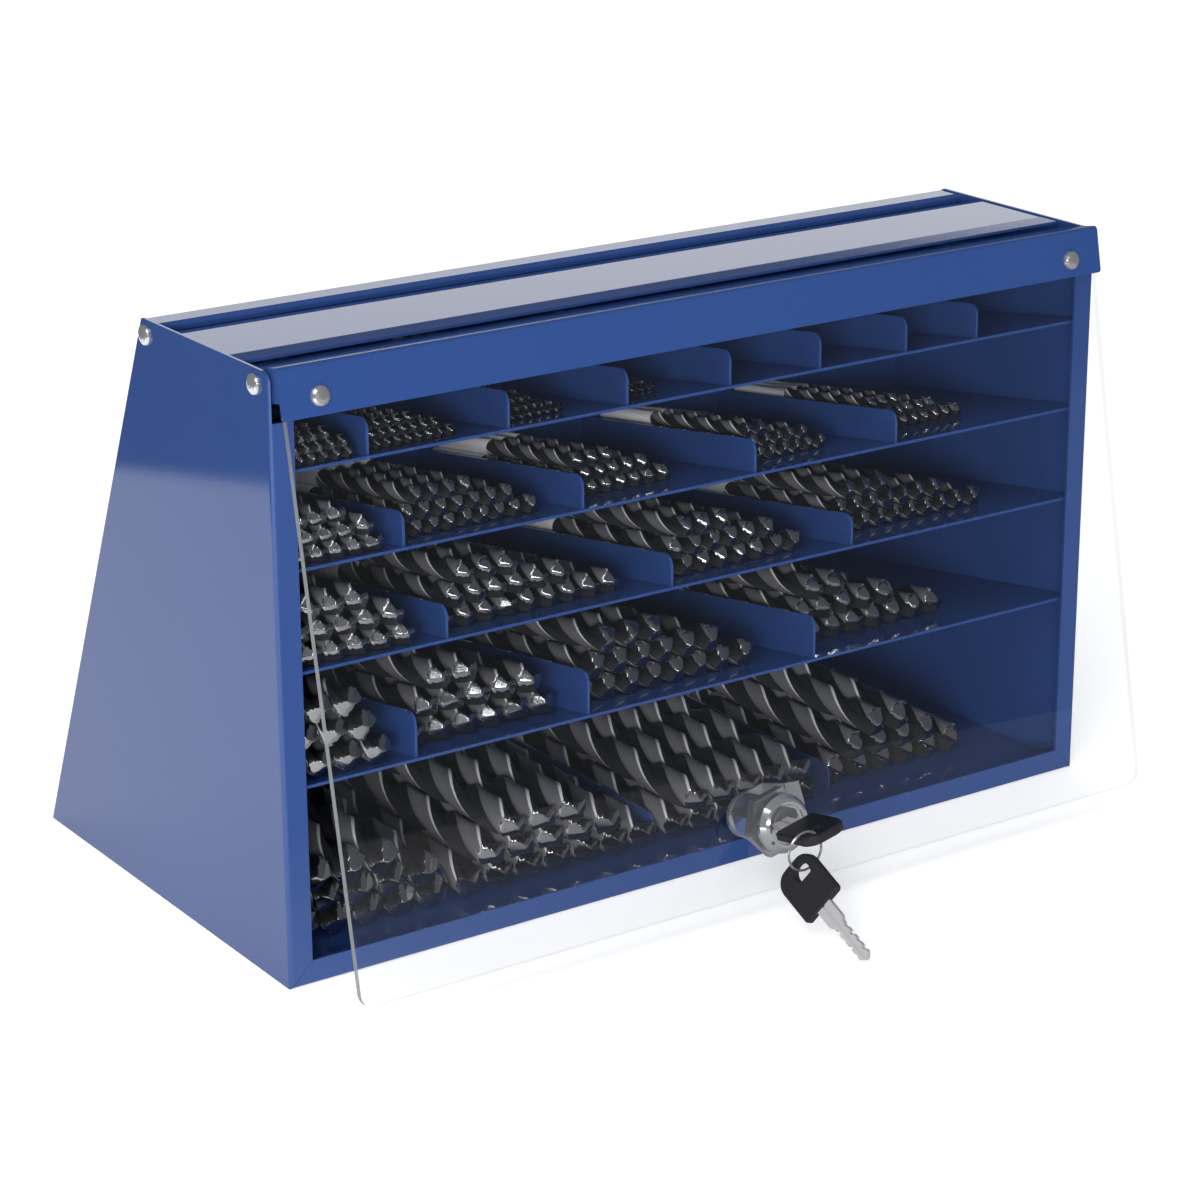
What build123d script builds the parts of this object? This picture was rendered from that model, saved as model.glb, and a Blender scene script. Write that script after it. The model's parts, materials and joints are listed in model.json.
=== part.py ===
"""Bench case for twist drills, built from folded sheet steel.

Five stepped trays stand between two trapezoid end panels.  Each tray is split
into compartments, one for each drill size.  A clear flap hangs from a folded
bracket that turns on two rivets, and a cam lock near its lower edge closes it.

Frame: millimetres, +Z up, +X along the case to the right as seen from the
front, -Y towards the front.  The origin is the centre of the base's underside.
"""

import os
from math import acos, cos, pi, radians, sin, sqrt, tan

from build123d import *

os.makedirs("parts", exist_ok=True)

# ---------------------------------------------------------------- case sizes
case_length = 350.0  # over the outsides of the end panels
case_height = 215.0
base_depth = 184.0
top_depth = 88.0
sheet = 1.0  # thickness of all the folded steel
bend = 1.6  # outside radius of a fold
frame_width = 8.8  # flanges that frame the open front and the sloping back
sill_height = 8.8  # upturned front edge of the base
flange_start = 17.0  # the end flanges stop this far below the top
mitre_gap = 0.15  # open seam where two frame flanges meet
end_corner = 4.0  # rounded top corners of the end panels
top_drop = 0.5  # the top sheets lie this far below the end panels' top edge

# ---------------------------------------------------------------- top sheets
top_front = 19.4  # front edge of the top panel, behind the case's front
slot_width = 5.4
strip_width = 11.6  # from the slot to the rear edge of the top
crease_width = 9.6  # rear strip of the top panel that bends down
crease_drop = 1.6
lip_depth = 3.0  # turned down edges beside the slot
rear_ear_inset = 1.5  # ears of the rear panel run into its sheet this far from its outside

# --------------------------------------------------------------------- trays
tray_slope = 8.9  # degrees, down towards the back
tray_setback = 2.8  # front edges behind the case's front
divider_setback = 1.4  # dividers behind their tray's front edge
divider_thickness = 1.0
divider_corner = 4.0  # rounded top front corner
base_divider_setback = 33.0  # clear of the lock when the flap is shut
seat_gap = 0.05  # a drill lies this far from its floor, wall and neighbours
side_gap = 0.8  # first drill of a row to its divider

# from the top tray down: front edges as shares of the case's height, back walls,
# and the gap between a back wall's top edge and the sloping back
tray_shares = (0.84, 0.68279, 0.51767, 0.33023)
wall_heights = (24.0, 22.0, 24.0, 26.0)
wall_gaps = (14.5, 3.5, 3.6, 4.4)
# the same order and then the base: dividers, placed by shares of the case's length
divider_heights = (13.0, 12.2, 11.8, 16.2, 10.4)
divider_shares = (
    (-0.39086, -0.23457, -0.09629, 0.02857, 0.142, 0.25429, 0.34943),
    (-0.35429, -0.14943, 0.06114, 0.244),
    (-0.30829, -0.042, 0.188),
    (-0.346, -0.14429, 0.14086),
    (-0.26629, -0.00714, 0.22914),
)

# -------------------------------------------------------------------- drills
drill_sides = 6
point_angle = 118.0  # degrees, across the cutting point
# diameter: (overall length, drills in each layer from the floor up)
drill_stock = (
    {4.5: (80, (7, 6, 4)), 4.0: (75, (9, 7, 4)), 3.5: (70, (8, 5, 3)), 3.0: (61, (8, 5)),
     2.5: (57, (7, 3)), 2.0: (49, (8, 3)), 1.5: (40, (8, 3)), 1.0: (34, (10,))},
    {7.0: (109, (6, 5, 3)), 6.5: (101, (9, 7, 4)), 6.0: (93, (8, 6, 3)), 5.5: (93, (8, 6, 2)),
     5.0: (86, (10, 7, 3))},
    {9.0: (125, (6, 5, 3)), 8.5: (117, (9, 6, 3)), 8.0: (117, (8, 6, 3)), 7.5: (109, (10, 7, 3))},
    {11.0: (142, (4, 3, 2)), 10.5: (133, (6, 5, 2)), 10.0: (133, (8, 6, 3)), 9.5: (125, (8, 5, 2))},
    {13.0: (151, (6, 5, 3)), 12.5: (151, (7, 5, 3)), 12.0: (151, (6, 5)), 11.5: (142, (6, 4, 2))},
)

# ---------------------------------------------------------------- flap sizes
hinge_setback = 9.0  # hinge axis behind the case's front
hinge_drop = 5.5  # hinge axis below the end panels' top edge
flap_ajar = 11.0  # degrees, how far the flap stands open at rest
flap_gap = 0.3  # shut flap to the case's front
flap_thickness = 2.5
flap_side_gap = 3.5  # flap's side edge to the case's outside
flap_foot = 2.5  # shut flap's lower edge above the case's underside
flap_corner = 5.0
bracket_end_gap = 0.8  # bracket's end to the inside of the end panel
bracket_height = 17.2
bracket_corner = 1.0
bracket_reach = 9.5  # top flange behind the hinge axis
flap_under_bracket = 0.8
ear_drop = 6.5  # ear below the hinge axis
ear_reach = 6.5  # ear behind the hinge axis

# ----------------------------------------------------------------- fasteners
rivet_radius = 2.0
rivet_head_radius = 3.6
rivet_head_height = 1.9
head_edge = 0.5  # upright rim of a domed head
head_steps = 4  # bands of a domed head
rivet_tail_radius = 3.2
rivet_tail_height = 1.0
pin_fit = 0.05  # radial running fit of a pin in its hole
washer_gap = 0.1  # along a pin, beside what turns on it
rear_rivet_inset = 3.8  # from the rear edge of the top
screw_inset = 12.5  # from the flap's side edge
screw_drop = 5.9  # below the hinge axis
screw_radius = 2.0
screw_head_radius = 3.5
screw_head_height = 2.4
screw_nut_radius = 3.5  # half across the flats
screw_nut_height = 3.2
screw_tail = 1.2
nut_sides = 6

# ---------------------------------------------------------------------- lock
lock_place = 3.0  # along the case from its middle
lock_height = 25.3  # above the case's underside when the flap is shut
lock_bezel_radius = 10.6
lock_bezel_height = 4.2
lock_bezel_step = 1.6
lock_face_radius = 8.2
lock_face_bevel = 1.0  # across the outer bevel of the bezel's face
lock_face_fall = 0.6  # down the outer bevel
lock_rim_width = 0.9  # flat rim of the face
lock_rim_bevel = 0.4  # across the inner bevel
lock_rim_depth = 0.9  # down the inner bevel
lock_barrel_radius = 8.3
lock_barrel_flat = 7.2  # flats of the barrel from its axis
lock_barrel_length = 19.0  # behind the flap's front face
lock_hole_gap = 0.2
plug_radius = 5.6
plug_recess = 0.6  # plug's face below the bezel's
plug_shoulder_radius = 7.0
plug_shoulder_height = 1.6
nut_half_flats = 11.0
nut_height = 3.6
boss_half = 3.2  # half the side of the square end that drives the cam
cam_thickness = 1.5
cam_width = 16.0
cam_reach = 21.0
cam_tip_width = 10.0
cam_crank_start = 10.0
cam_crank_run = 5.0
cam_crank = 6.5  # the tip stands this far nearer to the flap
cam_screw_head_radius = 3.6
cam_screw_socket = 1.4  # half the side of the driving socket
cam_screw_head_height = 2.0
lock_turned = 12.0  # degrees, how far the lock is turned in its round hole

# ---------------------------------------------------------------------- keys
blade_width = 6.6
blade_thickness = 2.0
blade_length = 25.5
blade_shoulder = 7.5  # full width next to the bow
blade_waist = 4.4  # width of the cut part
blade_taper = 1.6  # between the two widths, and at the tip
blade_gap = 0.2  # blade to the plug's slot, each side
slot_spare = 1.0  # the plug's slot is this much deeper than the blade's tip
blade_cuts = (0.7, 0.4, 0.9, 0.5)  # depths along one edge, used in turn
blade_cut_pitch = 3.6
blade_cut_width = 1.7
blade_groove_width = 1.0
blade_groove_depth = 0.6
key_stand_off = 3.4  # bow in front of the bezel
bow_length = 20.5
bow_width = 18.0
bow_thickness = 3.4
bow_round = 6.0
bow_corner = 1.6
bow_edge = 0.7
bow_hole_radius = 3.6
bow_hole_flat = 2.2  # hole's flat side from its centre, towards the blade
bow_hole_side = 3.4  # hole to the bow's side
bow_hole_end = 2.4  # hole to the bow's end
ring_radius = 7.1  # to the middle of the wire
ring_wire = 0.5  # wire radius
ring_sides = 6
ring_play = 0.5  # ring clear of what it hangs from
spare_heading = 88.0  # degrees from the case's length to where the spare key points
spare_roll = 25.0  # degrees, spare key turned about its own length
spare_tip_height = 3.5  # its blade rests on the ground: middle of the tip above it
spare_sag = 1.2  # spare key's hole centre below the wire

# ------------------------------------------------------------- derived places
front_y = -base_depth / 2
half_inside = case_length / 2 - sheet
back_slope = (base_depth - top_depth) / case_height
slant = sqrt(1 + back_slope**2)
fall = tan(radians(tray_slope))
slot_front = top_depth - strip_width - slot_width  # rear edge of the top panel
rear_rivet_setback = top_depth - rear_rivet_inset
flap_width = case_length - 2 * flap_side_gap
flap_length = case_height - hinge_drop - flap_foot  # from the hinge axis
lock_drop = case_height - hinge_drop - lock_height  # from the hinge axis
screw_spacing = flap_width - 2 * screw_inset
bracket_length = 2 * (half_inside - bracket_end_gap)


def back_y(height, inset=0.0):
    """Outer face of the sloping back at a height, moved in by a distance square to it."""
    return front_y + base_depth - back_slope * height - inset * slant


def tray_depth(height, wall, gap):
    """Front edge to back wall of a tray whose wall ends that gap before the sloping back."""
    room = base_depth - tray_setback - gap - back_slope * (height + wall)
    return room / (1 - back_slope * fall)


tray_heights = [share * case_height for share in tray_shares]
tray_depths = [tray_depth(*sizes) for sizes in zip(tray_heights, wall_heights, wall_gaps)]
divider_places = [[share * case_length for share in shares] for shares in divider_shares]


def save(part, name):
    """Label a finished piece and write it."""
    part.label = name
    export_step(part, f"parts/{name}.step")


# ================================================================ end panels
# Trapezoid sides, folded back at the front and along the slope.  The folds stop
# short of the top, and the front one meets the sill of the base in a mitre.
end_outline = (
    (front_y, 0),
    (front_y + base_depth, 0),
    (back_y(case_height), case_height),
    (front_y, case_height),
)
flange_top = case_height - flange_start

with BuildPart() as right_end_panel:
    with BuildSketch(Plane.YZ.offset(case_length / 2)):
        Polygon(*end_outline, align=None)
    extrude(amount=-frame_width)
    outer_face = right_end_panel.faces().sort_by(Axis.X)[-1]
    fold_edges = outer_face.edges().filter_by(lambda edge: abs((edge @ 1 - edge @ 0).Z) > flange_start)
    fillet(fold_edges, radius=bend)
    with BuildSketch(Plane.YZ.offset(half_inside)):
        with BuildLine():
            Polyline(
                (front_y + sheet, -sheet),
                (back_y(-sheet, sheet), -sheet),
                (back_y(case_height + sheet, sheet), case_height + sheet),
                (front_y + sheet, case_height + sheet),
                close=True,
            )
        make_face()
    extrude(amount=-frame_width, mode=Mode.SUBTRACT)
    with BuildSketch(Plane.YZ.offset(half_inside)):
        with Locations((0, flange_top)):
            Rectangle(2 * base_depth, 2 * flange_start, align=(Align.CENTER, Align.MIN))
    extrude(amount=-frame_width, mode=Mode.SUBTRACT)
    with BuildSketch(Plane.XZ.offset(-front_y)):
        Polygon(
            (case_length / 2 + mitre_gap, -sheet),
            (case_length / 2 + mitre_gap, mitre_gap),
            (case_length / 2 - frame_width - mitre_gap, frame_width + 2 * mitre_gap),
            (case_length / 2 - frame_width - mitre_gap, -sheet),
            align=None,
        )
    extrude(amount=-sheet, mode=Mode.SUBTRACT)
    with BuildSketch(Plane.YZ.offset(half_inside - sheet)):
        with Locations(
            (front_y + hinge_setback, case_height - hinge_drop),
            (front_y + rear_rivet_setback, case_height - hinge_drop),
        ):
            Circle(rivet_radius)
    extrude(amount=3 * sheet, mode=Mode.SUBTRACT)
    with BuildSketch(Plane.YZ.offset(case_length / 2)) as rounded:
        Polygon(*end_outline, align=None)
        fillet(rounded.vertices().group_by(Axis.Y)[-1], radius=end_corner)
    extrude(amount=-2 * frame_width, mode=Mode.INTERSECT)
save(right_end_panel.part, "right_end_panel")

with BuildPart() as left_end_panel:
    mirror(right_end_panel.part, about=Plane.YZ)
save(left_end_panel.part, "left_end_panel")

# ====================================================================== base
# Floor of the lowest tray, with an upturned sill in front and a flange behind
# that lies against the sloping back.
base_points = (
    (front_y, sill_height),
    (front_y, 0),
    (back_y(0, 2 * sheet), 0),
    (back_y(sill_height, 2 * sheet), sill_height),
)
with BuildPart() as base_panel:
    with BuildSketch(Plane.YZ):
        with BuildLine():
            FilletPolyline(*base_points, radius=bend)
            offset(amount=sheet, side=Side.LEFT)
        make_face()
    extrude(amount=case_length / 2, both=True)
    with BuildSketch(Plane.XY.offset(-sheet)):
        for side in (-1, 1):
            with Locations((side * half_inside, front_y + sheet)):
                Rectangle(
                    4 * sheet,
                    2 * base_depth,
                    align=(Align.MIN if side > 0 else Align.MAX, Align.MIN),
                )
    extrude(amount=2 * sill_height, mode=Mode.SUBTRACT)
    with BuildSketch(Plane.XZ.offset(-front_y)):
        for side in (-1, 1):
            Polygon(
                (side * case_length / 2, 0),
                (side * (case_length / 2 - frame_width), frame_width),
                (side * (case_length / 2 - frame_width), 2 * frame_width),
                (side * case_length, 2 * frame_width),
                (side * case_length, 0),
                align=None,
            )
    extrude(amount=-sheet, mode=Mode.SUBTRACT)
save(base_panel.part, "base_panel")

# ================================================================ rear panel
# Sloping back inside the end flanges.  Its top folds forward as a strip, with a
# turned down lip along the slot, and an ear at each end takes a rivet.
top_surface = case_height - top_drop
strip_front = front_y + slot_front + slot_width
rear_points = (
    (back_y(sheet, sheet), sheet),
    (back_y(top_surface, sheet), top_surface),
    (strip_front, top_surface),
    (strip_front, top_surface - lip_depth),
)
ear_top = top_surface - sheet
rear_ear_low = case_height - hinge_drop - ear_drop
with BuildPart() as rear_panel:
    with BuildSketch(Plane.YZ):
        with BuildLine():
            FilletPolyline(*rear_points, radius=bend)
            offset(amount=sheet, side=Side.LEFT)
        make_face()
    extrude(amount=half_inside, both=True)
    for side in (-1, 1):
        with BuildSketch(Plane.YZ.offset(side * half_inside)):
            Polygon(
                (strip_front + 2 * sheet, ear_top),
                (strip_front + 2 * sheet, rear_ear_low),
                (back_y(rear_ear_low, rear_ear_inset), rear_ear_low),
                (back_y(ear_top, rear_ear_inset), ear_top),
                align=None,
            )
        extrude(amount=-side * sheet)
    with BuildSketch(Plane.YZ):
        with Locations((front_y + rear_rivet_setback, case_height - hinge_drop)):
            Circle(rivet_radius)
    extrude(amount=case_length, both=True, mode=Mode.SUBTRACT)
save(rear_panel.part, "rear_panel")

# ================================================================= top panel
# Flat sheet with a plain front edge, under which the flap's bracket dips, and a
# creased rear strip that turns down along the slot.
crease_y = front_y + slot_front - crease_width
top_points = (
    (front_y + top_front, top_surface),
    (crease_y, top_surface),
    (front_y + slot_front, top_surface - crease_drop),
    (front_y + slot_front, top_surface - crease_drop - lip_depth),
)
with BuildPart() as top_panel:
    with BuildSketch(Plane.YZ):
        with BuildLine():
            FilletPolyline(*top_points, radius=bend)
            offset(amount=sheet, side=Side.RIGHT)
        make_face()
    extrude(amount=half_inside, both=True)
save(top_panel.part, "top_panel")

# ========================================================== trays 1 to 4
# Each one is a sheet that slopes down to the back and turns up as a back wall.
tray_front = front_y + tray_setback

for number, (height, depth, wall) in enumerate(zip(tray_heights, tray_depths, wall_heights), 1):
    rear = tray_front + depth
    corner_height = height - depth * fall
    with BuildPart() as tray:
        with BuildSketch(Plane.YZ):
            with BuildLine():
                FilletPolyline(
                    (tray_front, height),
                    (rear, corner_height),
                    (rear, corner_height + wall),
                    radius=bend - sheet,
                )
                offset(amount=sheet, side=Side.RIGHT)
            make_face()
        extrude(amount=half_inside, both=True)
    save(tray.part, f"tray_{number}")

# ================================================================== dividers
# Upright plates across the trays, level with the floor along their length.
for number, places in enumerate(divider_places, 1):
    top = divider_heights[number - 1]
    if number <= len(tray_heights):
        start = tray_front + divider_setback
        rise = fall
        floor = tray_heights[number - 1] - divider_setback * fall
        end = tray_front + tray_depths[number - 1] - (bend - sheet)
    else:
        start = front_y + base_divider_setback
        rise = 0.0
        floor = sheet
        end = back_y(sheet + top, 2 * sheet)
    drop = (end - start) * rise
    with BuildPart() as dividers:
        with BuildSketch(Plane.YZ) as outline:
            Polygon(
                (start, floor),
                (end, floor - drop),
                (end, floor - drop + top),
                (start, floor + top),
                align=None,
            )
            front_top = outline.vertices().group_by(Axis.X)[0].sort_by(Axis.Y)[-1]
            fillet(front_top, radius=divider_corner)
        for place in places:
            extrude(outline.sketch.moved(Location((place, 0, 0))), amount=divider_thickness / 2, both=True)
    save(dividers.part, f"dividers_{number}")

# ==================================================================== drills
# Every compartment holds one size, laid with the points to the front and piled
# in rows that nest in the grooves of the row below.


def pile(layers, room):
    """Drills in each layer when so many have room side by side.  The rest go on top."""
    waiting = list(layers)
    counts = []
    left_over = 0
    while waiting or left_over:
        wanted = left_over + (waiting.pop(0) if waiting else 0)
        counts.append(min(wanted, room))
        left_over = wanted - counts[-1]
        room = max(1, counts[-1] - 1)
    return counts


for number, stock in enumerate(drill_stock, 1):
    on_base = number > len(tray_heights)
    slope = 0.0 if on_base else tray_slope
    along = Vector(0, -cos(radians(slope)), sin(radians(slope)))
    above = Vector(0, sin(radians(slope)), cos(radians(slope)))
    walls = [-half_inside, *divider_places[number - 1], half_inside]
    for left_wall, right_wall, (diameter, (length, layers)) in zip(walls, walls[1:], stock.items()):
        radius = diameter / 2
        point = radius / tan(radians(point_angle / 2))
        with BuildPart() as drill:
            with BuildSketch():
                RegularPolygon(radius, drill_sides)
            extrude(amount=length - point)
            loft(
                sections=[drill.faces().sort_by(Axis.Z)[-1], Vertex(0, 0, length)],
                ruled=True,
            )
        pitch = diameter + seat_gap
        first = left_wall + divider_thickness / 2 + side_gap + radius
        row = right_wall - left_wall - divider_thickness - side_gap - seat_gap - diameter
        seats = []
        for layer, count in enumerate(pile(layers, int(row / pitch) + 1)):
            lift = radius + seat_gap + layer * pitch * sqrt(3) / 2
            for index in range(count):
                shift = first + (index + layer / 2) * pitch
                if on_base:
                    foot = Vector(shift, back_y(sheet + lift + radius, 2 * sheet) - seat_gap, sheet)
                else:
                    wall_y = tray_front + tray_depths[number - 1]
                    wall_z = tray_heights[number - 1] - tray_depths[number - 1] * fall
                    slack = (bend - sheet) + seat_gap + (lift + radius) * tan(radians(slope))
                    foot = Vector(shift, wall_y, wall_z) + along * slack
                seat = foot + above * lift
                seats.append(Plane(origin=seat, x_dir=(1, 0, 0), z_dir=along).location)
        with BuildPart() as drills:
            with Locations(*seats):
                add(drill.part)
        name = f"drills_{diameter:04.1f}mm".replace(".", "_")
        save(drills.part, name)

# =============================================================== flap bracket
# Everything on the flap is drawn in its own frame: x along the case, y up the
# flap and z out of its front, from the hinge axis.
hinge_point = Vector(0, front_y + hinge_setback, case_height - hinge_drop)
flap_frame = Plane(
    origin=hinge_point,
    x_dir=(1, 0, 0),
    z_dir=(0, -cos(radians(flap_ajar)), sin(radians(flap_ajar))),
)
# seen along the case: x is the flap's outward direction, y is up the flap
flap_side = Plane(origin=hinge_point, x_dir=flap_frame.z_dir, z_dir=-flap_frame.x_dir)

flap_back = hinge_setback + flap_gap
flap_front = flap_back + flap_thickness
bracket_face = flap_front + sheet
bracket_top = hinge_drop - top_drop
half_bracket = bracket_length / 2

with BuildPart() as door_bracket:
    with BuildSketch(flap_side):
        with BuildLine():
            FilletPolyline(
                (-bracket_reach, bracket_top),
                (bracket_face, bracket_top),
                (bracket_face, bracket_top - bracket_height),
                radius=bend,
            )
            offset(amount=sheet, side=Side.RIGHT)
        make_face()
    extrude(amount=half_bracket, both=True)
    low_corners = (
        door_bracket.edges()
        .filter_by(Axis(hinge_point, flap_frame.z_dir))
        .sort_by(Axis.Z)[:2]
    )
    fillet(low_corners, radius=bracket_corner)
    for side in (-1, 1):
        with BuildSketch(flap_side.offset(side * half_bracket)) as ear:
            Polygon(
                (-ear_reach, bracket_top - sheet / 2),
                (bracket_face - sheet / 2, bracket_top - sheet / 2),
                (bracket_face - sheet / 2, -ear_drop),
                (-ear_reach, -ear_drop),
                align=None,
            )
            fillet(ear.vertices().group_by(Axis.X)[0].sort_by(Axis.Y)[0], radius=ear_drop / 2)
            Circle(rivet_radius + pin_fit, mode=Mode.SUBTRACT)
        extrude(amount=-side * sheet)
    with BuildSketch(flap_frame.offset(flap_front - sheet)):
        with Locations((-screw_spacing / 2, -screw_drop), (screw_spacing / 2, -screw_drop)):
            Circle(screw_radius)
    extrude(amount=3 * sheet, mode=Mode.SUBTRACT)
save(door_bracket.part, "door_bracket")

# ================================================================ clear flap
flap_top = bracket_top - sheet - flap_under_bracket
with BuildPart() as clear_flap:
    with BuildSketch(flap_frame.offset(flap_back)) as pane:
        with Locations((0, flap_top)):
            Rectangle(flap_width, flap_top + flap_length, align=(Align.CENTER, Align.MAX))
        fillet(pane.vertices().group_by(Axis.Y)[0], radius=flap_corner)
        with Locations((-screw_spacing / 2, -screw_drop), (screw_spacing / 2, -screw_drop)):
            Circle(screw_radius, mode=Mode.SUBTRACT)
        with Locations((lock_place, -lock_drop)):
            Circle(lock_barrel_radius + lock_hole_gap, mode=Mode.SUBTRACT)
    extrude(amount=flap_thickness)
save(clear_flap.part, "clear_flap")

# ============================================================== flap fasteners
screw_places = ((-screw_spacing / 2, -screw_drop), (screw_spacing / 2, -screw_drop))


def dome(radius, height):
    """Half section of a domed head that stands on the XY plane, for a turn about Z."""
    with BuildSketch(Plane.XZ) as half:
        turns = [pi / 2 * step / head_steps for step in range(head_steps + 1)]
        crown = [(radius * cos(turn), head_edge + (height - head_edge) * sin(turn)) for turn in turns]
        Polygon((0, 0), (radius, 0), *crown[:-1], (0, height), align=None)
    return half.sketch


with BuildPart() as dome_screw:
    revolve(dome(screw_head_radius, screw_head_height), axis=Axis.Z)
    with BuildSketch():
        Circle(screw_radius)
    extrude(amount=-(sheet + flap_thickness + screw_nut_height + screw_tail))

with BuildPart() as bracket_screws:
    with Locations(*[flap_frame.offset(bracket_face) * Location((*spot, 0)) for spot in screw_places]):
        add(dome_screw.part)
save(bracket_screws.part, "bracket_screws")

with BuildPart() as bracket_nuts:
    with BuildSketch(flap_frame.offset(flap_back)):
        with Locations(*screw_places):
            RegularPolygon(screw_nut_radius, nut_sides, major_radius=False)
            Circle(screw_radius, mode=Mode.SUBTRACT)
    extrude(amount=-screw_nut_height)
save(bracket_nuts.part, "bracket_nuts")

# ==================================================================== rivets
# Each has a domed head outside the end panel and a flat tail inside the ear.


def rivets(setback, grip):
    """Pair of rivets through both end panels and what lies inside them."""
    with BuildPart() as rivet:
        revolve(dome(rivet_head_radius, rivet_head_height), axis=Axis.Z)
        with BuildSketch():
            Circle(rivet_radius)
        extrude(amount=-grip)
        with BuildSketch(Plane.XY.offset(-grip)):
            Circle(rivet_tail_radius)
        extrude(amount=-rivet_tail_height)
    centre = (front_y + setback, case_height - hinge_drop)
    with BuildPart() as pair:
        for side in (-1, 1):
            with Locations(
                Plane(
                    origin=(side * case_length / 2, *centre),
                    x_dir=(0, 1, 0),
                    z_dir=(side, 0, 0),
                ).location
            ):
                add(rivet.part)
    return pair.part


ear_play = half_inside - half_bracket
save(rivets(hinge_setback, 2 * sheet + ear_play + washer_gap), "hinge_rivets")
save(rivets(rear_rivet_setback, 2 * sheet), "rear_rivets")

# ================================================================== lock body
# Stepped bezel in front of the flap and a barrel with two flats behind it.
turn = radians(lock_turned)
lock_frame = Plane(
    origin=flap_frame.from_local_coords((lock_place, -lock_drop, flap_front)),
    x_dir=flap_frame.x_dir * cos(turn) + flap_frame.y_dir * sin(turn),
    z_dir=flap_frame.z_dir,
)
plug_seat = lock_bezel_height - plug_recess
rim_radius = lock_face_radius - lock_rim_width
with BuildPart() as lock_body:
    with BuildSketch(Plane.XZ):
        Polygon(
            (plug_radius + pin_fit, 0),
            (lock_bezel_radius, 0),
            (lock_bezel_radius, lock_bezel_step),
            (lock_face_radius + lock_face_bevel, lock_bezel_height - lock_face_fall),
            (lock_face_radius, lock_bezel_height),
            (rim_radius, lock_bezel_height),
            (rim_radius - lock_rim_bevel, lock_bezel_height - lock_rim_depth),
            (plug_radius + pin_fit, lock_bezel_height - lock_rim_depth),
            align=None,
        )
    revolve(axis=Axis.Z)
    with BuildSketch():
        Circle(lock_barrel_radius)
        Rectangle(2 * lock_barrel_flat, 3 * lock_barrel_radius, mode=Mode.INTERSECT)
        Circle(plug_radius + pin_fit, mode=Mode.SUBTRACT)
    extrude(amount=-lock_barrel_length)
save(lock_frame.location * lock_body.part, "lock_body")

nut_seat = -flap_thickness
with BuildPart() as lock_nut:
    with BuildSketch(lock_frame.offset(nut_seat)):
        RegularPolygon(nut_half_flats, nut_sides, major_radius=False)
        Circle(lock_barrel_radius, mode=Mode.SUBTRACT)
    extrude(amount=-nut_height)
save(lock_nut.part, "lock_nut")

# ================================================================== lock plug
# The turning core: a slot for the key, a shoulder behind the barrel that keeps
# it in, and a square end for the cam.
shoulder_seat = -lock_barrel_length - washer_gap
cam_seat = shoulder_seat - plug_shoulder_height
slot_bottom = plug_seat + key_stand_off - blade_length - slot_spare
with BuildPart() as lock_plug:
    with BuildSketch(Plane.XY.offset(shoulder_seat)):
        Circle(plug_radius)
    extrude(amount=plug_seat - shoulder_seat)
    with BuildSketch(Plane.XY.offset(shoulder_seat)):
        Circle(plug_shoulder_radius)
    extrude(amount=-plug_shoulder_height)
    with BuildSketch(Plane.XY.offset(cam_seat)):
        Rectangle(2 * boss_half, 2 * boss_half)
    extrude(amount=-cam_thickness)
    with BuildSketch(Plane.XY.offset(plug_seat)):
        Rectangle(blade_width + 2 * blade_gap, blade_thickness + 2 * blade_gap)
    extrude(amount=slot_bottom - plug_seat, mode=Mode.SUBTRACT)
save(lock_frame.location * lock_plug.part, "lock_plug")

# ======================================================================== cam
# Plate that turns behind the sill.  Its arm is cranked towards the flap.
cam_back = cam_seat - cam_thickness
with BuildPart() as lock_cam:
    with BuildSketch(Plane.XZ):
        with BuildLine():
            FilletPolyline(
                (-cam_width, cam_seat),
                (cam_crank_start, cam_seat),
                (cam_crank_start + cam_crank_run, cam_seat + cam_crank),
                (cam_reach + cam_width, cam_seat + cam_crank),
                radius=bend,
            )
            offset(amount=cam_thickness, side=Side.RIGHT)
        make_face()
    extrude(amount=cam_width, both=True)
    with BuildSketch(Plane.XY.offset(cam_back - cam_width)) as cam_outline:
        Circle(cam_width / 2)
        with BuildLine():
            Polyline(
                (0, cam_width / 2),
                (cam_crank_start, cam_width / 2),
                (cam_reach, cam_tip_width / 2),
                (cam_reach, -cam_tip_width / 2),
                (cam_crank_start, -cam_width / 2),
                (0, -cam_width / 2),
                close=True,
            )
        make_face()
        fillet(cam_outline.vertices().group_by(Axis.X)[-1], radius=cam_tip_width / 4)
        Rectangle(2 * boss_half, 2 * boss_half, mode=Mode.SUBTRACT)
    extrude(amount=3 * cam_width, mode=Mode.INTERSECT)
save(lock_frame.location * lock_cam.part, "lock_cam")

with BuildPart() as cam_screw:
    with BuildSketch(Plane.XY.offset(cam_back)):
        Circle(cam_screw_head_radius)
        Rectangle(2 * cam_screw_socket, 2 * cam_screw_socket, mode=Mode.SUBTRACT)
    extrude(amount=-cam_screw_head_height)
    with BuildSketch(Plane.XY.offset(cam_back)):
        Circle(cam_screw_head_radius)
    extrude(amount=-cam_screw_head_height / 2)
save(lock_frame.location * cam_screw.part, "cam_screw")

# ======================================================================= keys
# Flat blade with cuts on both edges and a moulded bow with a hole in its corner.
# Drawn with x across the key and z along it, the bow towards +z.


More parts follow.
